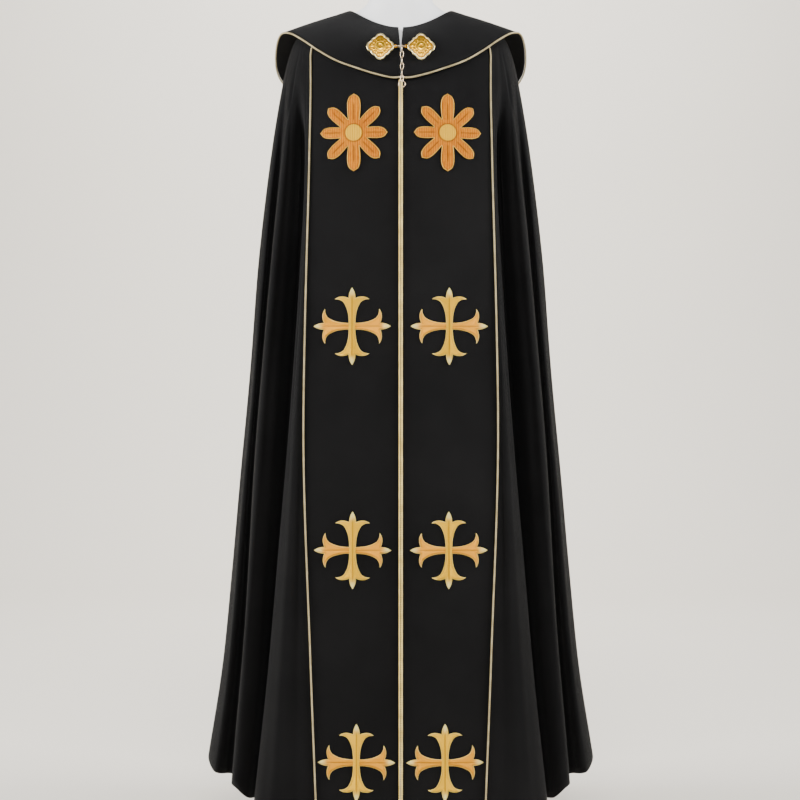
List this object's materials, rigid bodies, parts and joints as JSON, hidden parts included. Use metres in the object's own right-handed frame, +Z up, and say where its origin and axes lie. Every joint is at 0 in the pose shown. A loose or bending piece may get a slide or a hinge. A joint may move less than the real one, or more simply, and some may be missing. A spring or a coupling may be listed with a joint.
{
  "type": "cope vestment on a dress form",
  "caption": "Long black cope hanging in folds from a limbless dress form, with gold-edged front bands, a wide cape collar, joined clasps, rosettes and crosses.",
  "frame": {"origin": "the middle of the stand's base, on its underside, where it meets the floor", "axes": "+Z up along the stand's pole, the cope's open front faces -Y, +X to the right as seen from the front"},
  "size_m": [0.7384, 0.466, 1.625],
  "materials": {
    "black_cloth": "matt, close weave",
    "gold_braid": "twisted metallic thread",
    "gold_embroidery": "satin stitch",
    "gold_metal": "polished, cast relief",
    "chain_metal": "polished wire",
    "form_cover": "smooth, satin",
    "stand_steel": "brushed"
  },
  "bodies": {
    "cope_and_form": {"band_left": "black_cloth", "cloak_left": "black_cloth", "front_braid_left": "gold_braid", "band_braid_left": "gold_braid", "ornament_left": "gold_embroidery", "cross_high_left": "gold_embroidery", "cross_middle_left": "gold_embroidery", "cross_low_left": "gold_embroidery", "clasp_left": "gold_metal", "band_right": "black_cloth", "cloak_right": "black_cloth", "front_braid_right": "gold_braid", "band_braid_right": "gold_braid", "ornament_right": "gold_embroidery", "cross_high_right": "gold_embroidery", "cross_middle_right": "gold_embroidery", "cross_low_right": "gold_embroidery", "clasp_right": "gold_metal", "collar": "black_cloth", "collar_braid": "gold_braid", "chain_link_across": "chain_metal", "dress_form": "form_cover", "stand_pole": "stand_steel", "stand_base": "stand_steel"},
    "chain_tail": {"chain_tail_link_1": "chain_metal", "chain_tail_link_2": "chain_metal", "chain_tail_link_3": "chain_metal", "chain_tail_link_4": "chain_metal", "chain_tail_link_5": "chain_metal", "chain_tail_link_6": "chain_metal", "chain_end_ring": "chain_metal"}
  },
  "joints": [
    {"name": "chain_tail_swing", "type": "hinge", "parent": "cope_and_form", "child": "chain_tail", "pos_m": [0.0022, -0.12604, 1.47019], "axis": [-1, 0, 0], "range_deg": [0, 95]}
  ]
}
